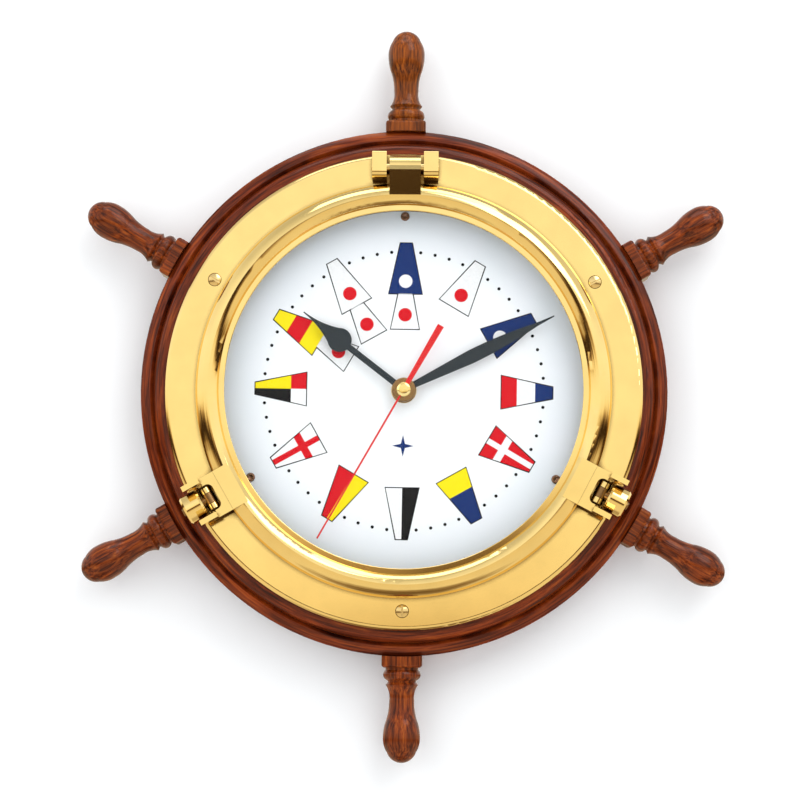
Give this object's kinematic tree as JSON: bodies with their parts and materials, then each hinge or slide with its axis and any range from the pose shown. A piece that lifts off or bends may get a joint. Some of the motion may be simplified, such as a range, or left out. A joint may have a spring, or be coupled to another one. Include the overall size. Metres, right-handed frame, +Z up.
{
  "type": "ship's wheel wall clock",
  "caption": "Wall clock built as a turned wooden ship's wheel with handles, holding a hinged brass porthole with swing bolts over a pennant dial.",
  "frame": {"origin": "on the clock's axis, in the plane of the wheel's flat back, which rests on the wall", "axes": "+Y into the wall along the clock's axis, so the dial faces -Y; +Z up to 12 o'clock; +X to 3 o'clock"},
  "size_m": [0.332, 0.0498, 0.381],
  "materials": {
    "wood": "gloss varnish",
    "handle_wood": "gloss varnish",
    "brass": "polished, lacquered",
    "brass_fastener": "turned",
    "glass": "clear",
    "black_rubber": "matt",
    "dial_white": "satin white with printed pennants",
    "hand_black": "satin black",
    "hand_red": "gloss red",
    "bronze_screw": "antiqued",
    "black_plastic": "fine texture",
    "white_plastic": "moulded",
    "steel": "zinc plated",
    "copper_wire": "enamelled wire",
    "green_board": "solder mask",
    "cell_jacket": "printed sleeve, plain"
  },
  "bodies": {
    "clock": {"wheel_ring": "wood", "handle_1": "handle_wood", "handle_2": "handle_wood", "handle_3": "handle_wood", "handle_4": "handle_wood", "handle_5": "handle_wood", "handle_6": "handle_wood", "flange": "brass", "flange_screws": "brass_fastener", "hinge_pin": "brass_fastener", "left_dog_pin": "brass_fastener", "right_dog_pin": "brass_fastener", "dial": "dial_white", "dial_screws": "bronze_screw", "centre_washer": "brass_fastener", "centre_nut": "brass_fastener", "rubber_washer": "black_rubber", "centre_tube": "brass_fastener", "gear_plate": "white_plastic", "movement_case": "black_plastic", "movement_cover": "black_plastic", "stator": "steel", "coil": "copper_wire", "circuit_board": "green_board", "battery_contact_negative": "steel", "battery_contact_positive": "steel", "hanger_plate": "steel", "hanger_screws": "steel"},
    "bezel": {"bezel": "brass", "glass": "glass", "glass_retainer": "brass", "bezel_gasket": "black_rubber"},
    "left_dog": {"left_dog_bolt": "brass"},
    "left_dog_nut": {"left_dog_nut": "brass"},
    "right_dog": {"right_dog_bolt": "brass"},
    "right_dog_nut": {"right_dog_nut": "brass"},
    "second": {"second_hand": "hand_red", "second_wheel": "white_plastic"},
    "minute": {"minute_hand": "hand_black", "minute_wheel": "white_plastic", "hand_nut": "brass_fastener"},
    "hour": {"hour_hand": "hand_black", "hour_wheel": "white_plastic"},
    "motion": {"motion_wheel": "white_plastic", "setting_knob": "white_plastic"},
    "third": {"third_wheel": "white_plastic"},
    "intermediate": {"intermediate_wheel": "white_plastic"},
    "rotor": {"rotor": "black_plastic"},
    "battery": {"battery": "cell_jacket"}
  },
  "joints": [
    {"name": "bezel_hinge", "type": "hinge", "parent": "clock", "child": "bezel", "pos_m": [0, -0.0345, 0.1145], "axis": [-1, 0, 0], "range_deg": [0, 105]},
    {"name": "left_dog_swing", "type": "hinge", "parent": "clock", "child": "left_dog", "pos_m": [-0.09821, -0.0362, -0.0567], "axis": [-0.5, 0, 0.866], "range_deg": [0, 90]},
    {"name": "left_nut_turn", "type": "hinge", "parent": "left_dog", "child": "left_dog_nut", "pos_m": [-0.10583, -0.0362, -0.0611], "axis": [-0.866, 0, -0.5], "continuous": true},
    {"name": "right_dog_swing", "type": "hinge", "parent": "clock", "child": "right_dog", "pos_m": [0.10059, -0.0362, -0.05236], "axis": [-0.4617, 0, -0.887], "range_deg": [0, 90]},
    {"name": "right_nut_turn", "type": "hinge", "parent": "right_dog", "child": "right_dog_nut", "pos_m": [0.10839, -0.0362, -0.05643], "axis": [0.887, 0, -0.4617], "continuous": true},
    {"name": "battery_slide", "type": "slide", "parent": "clock", "child": "battery", "axis": [0, 1, 0], "range_m": [0, 0.03]},
    {"name": "second_turn", "type": "hinge", "parent": "clock", "child": "second", "pos_m": [0, -0.015, 0], "axis": [0, 1, 0], "continuous": true},
    {"name": "third_turn", "type": "hinge", "parent": "clock", "child": "third", "pos_m": [-0.00883, -0.015, 0.0051], "axis": [0, 1, 0], "continuous": true},
    {"name": "minute_turn", "type": "hinge", "parent": "clock", "child": "minute", "pos_m": [0, -0.015, 0], "axis": [0, 1, 0], "continuous": true},
    {"name": "motion_turn", "type": "hinge", "parent": "clock", "child": "motion", "pos_m": [0.00985, -0.015, -0.00264], "axis": [0, 1, 0], "continuous": true},
    {"name": "hour_turn", "type": "hinge", "parent": "clock", "child": "hour", "pos_m": [0, -0.015, 0], "axis": [0, 1, 0], "continuous": true},
    {"name": "intermediate_turn", "type": "hinge", "parent": "clock", "child": "intermediate", "pos_m": [0.00248, -0.015, 0.00927], "axis": [0, 1, 0], "continuous": true},
    {"name": "rotor_turn", "type": "hinge", "parent": "clock", "child": "rotor", "pos_m": [0.01071, -0.015, 0.01227], "axis": [0, 1, 0], "continuous": true}
  ],
  "couplings": [
    {"joint": "third_turn", "follows": "second_turn", "ratio": -0.125},
    {"joint": "minute_turn", "follows": "second_turn", "ratio": 0.016667},
    {"joint": "motion_turn", "follows": "second_turn", "ratio": -0.0055556},
    {"joint": "hour_turn", "follows": "second_turn", "ratio": 0.0013889},
    {"joint": "intermediate_turn", "follows": "second_turn", "ratio": -5},
    {"joint": "rotor_turn", "follows": "second_turn", "ratio": 30}
  ]
}
